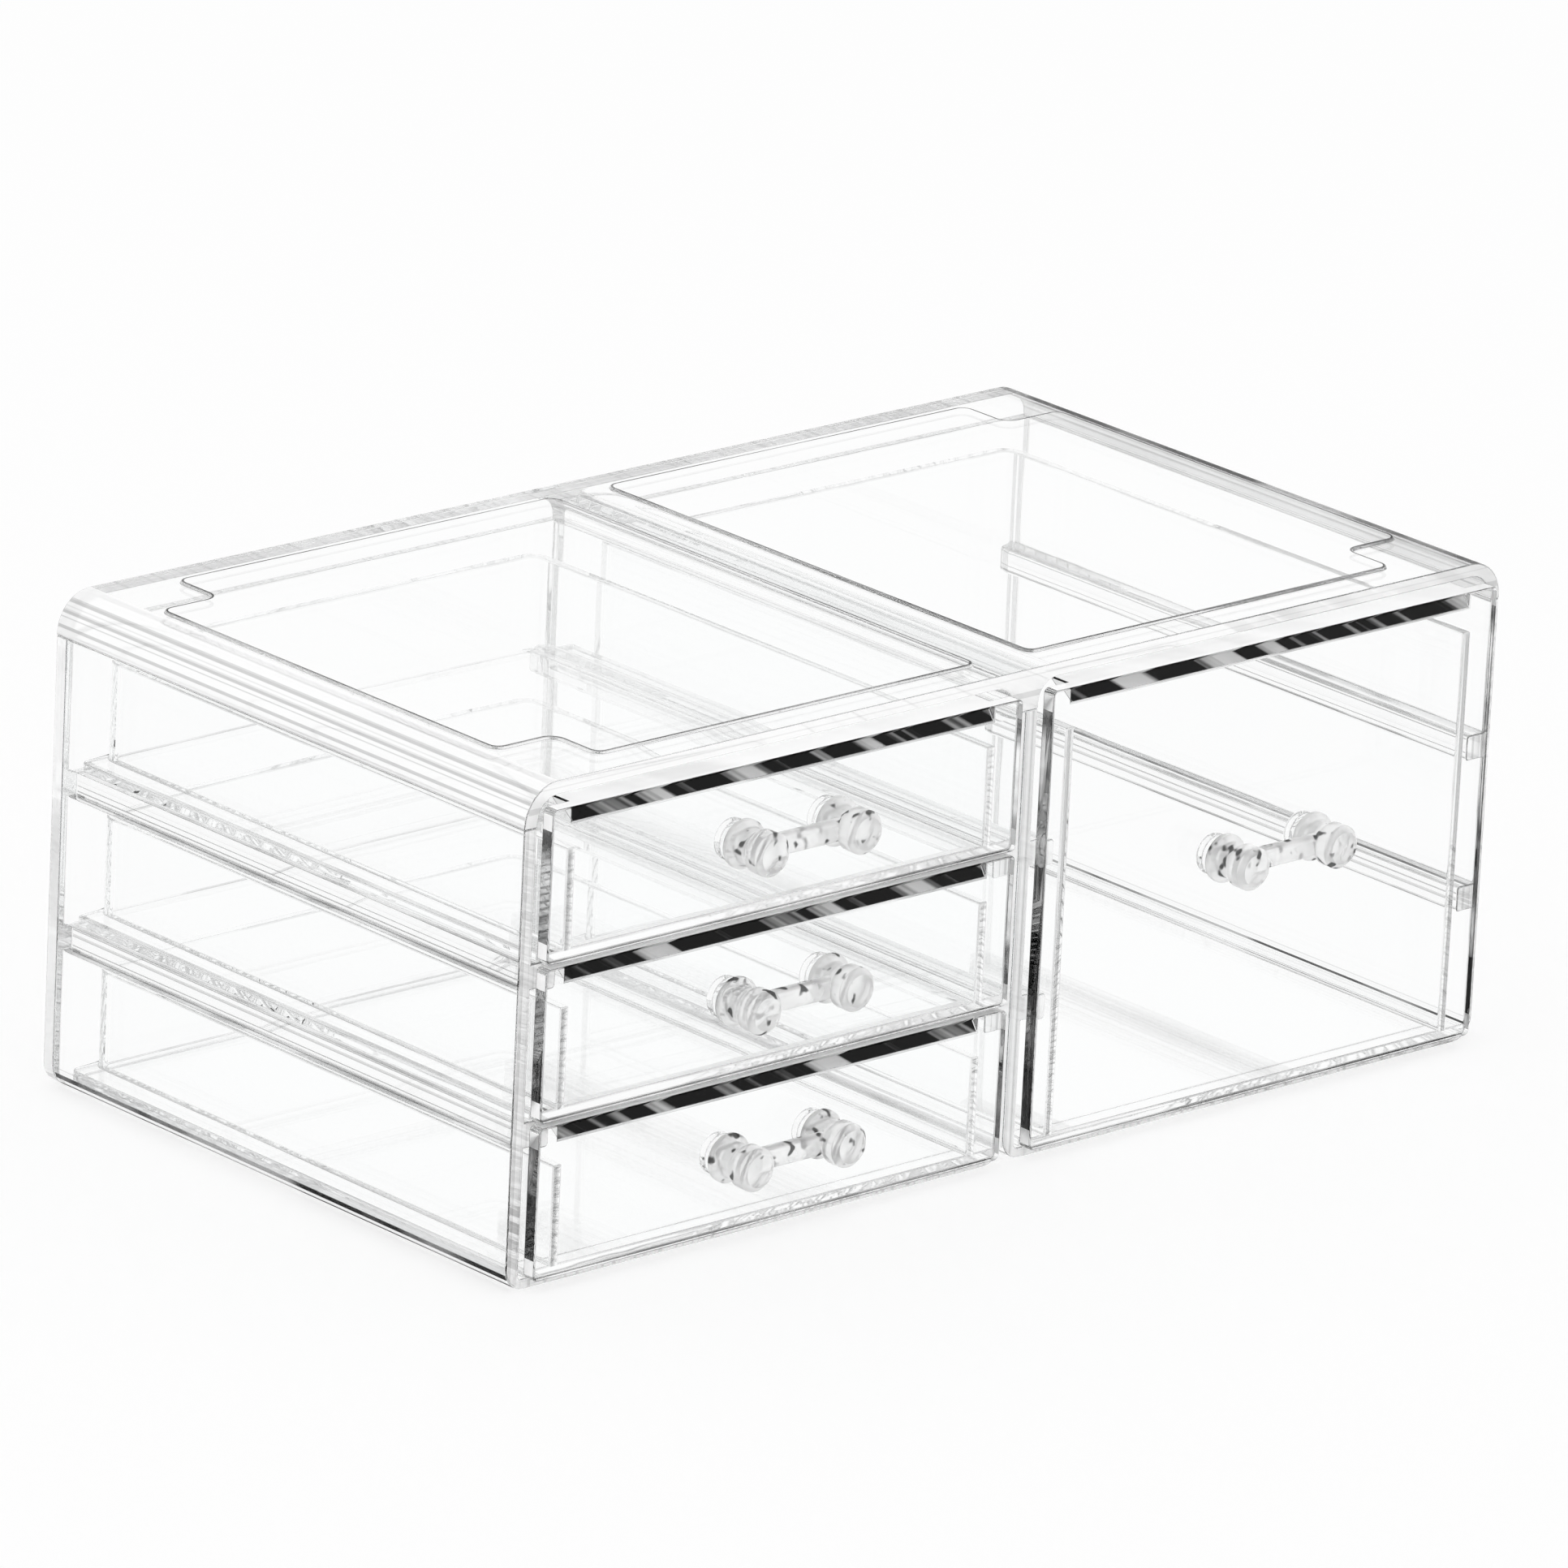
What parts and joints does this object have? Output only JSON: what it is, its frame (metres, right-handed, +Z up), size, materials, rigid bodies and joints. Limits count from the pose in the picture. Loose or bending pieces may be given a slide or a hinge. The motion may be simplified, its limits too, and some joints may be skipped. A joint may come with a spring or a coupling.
{
  "type": "stackable drawer organizer",
  "caption": "Clear moulded desktop organizer with small drawers stacked beside one tall drawer, bar handles on knobs, and raised fields on top for stacking.",
  "frame": {"origin": "on the floor, under the middle of the whole box with the drawers shut and the handles included", "axes": "+X from the bay of small drawers to the bay of the large drawer, -Y the way the drawers open, +Z up"},
  "size_m": [0.24, 0.1446, 0.096],
  "materials": {
    "case_clear": "clear, polished moulding",
    "drawer_clear": "clear, polished moulding",
    "handle_clear": "clear, polished moulding"
  },
  "bodies": {
    "case": {"left_shell": "case_clear", "right_shell": "case_clear", "back_panel": "case_clear", "top_cover": "case_clear"},
    "upper_drawer": {"upper_tray": "drawer_clear", "upper_front": "drawer_clear", "upper_handle": "handle_clear", "upper_caps": "handle_clear"},
    "middle_drawer": {"middle_tray": "drawer_clear", "middle_front": "drawer_clear", "middle_handle": "handle_clear", "middle_caps": "handle_clear"},
    "lower_drawer": {"lower_tray": "drawer_clear", "lower_front": "drawer_clear", "lower_handle": "handle_clear", "lower_caps": "handle_clear"},
    "large_drawer": {"large_tray": "drawer_clear", "large_front": "drawer_clear", "large_handle": "handle_clear", "large_caps": "handle_clear"}
  },
  "joints": [
    {"name": "upper_slide", "type": "slide", "parent": "case", "child": "upper_drawer", "axis": [0, -1, 0], "range_m": [0, 0.097]},
    {"name": "middle_slide", "type": "slide", "parent": "case", "child": "middle_drawer", "axis": [0, -1, 0], "range_m": [0, 0.097]},
    {"name": "lower_slide", "type": "slide", "parent": "case", "child": "lower_drawer", "axis": [0, -1, 0], "range_m": [0, 0.097]},
    {"name": "large_slide", "type": "slide", "parent": "case", "child": "large_drawer", "axis": [0, -1, 0], "range_m": [0, 0.097]}
  ]
}
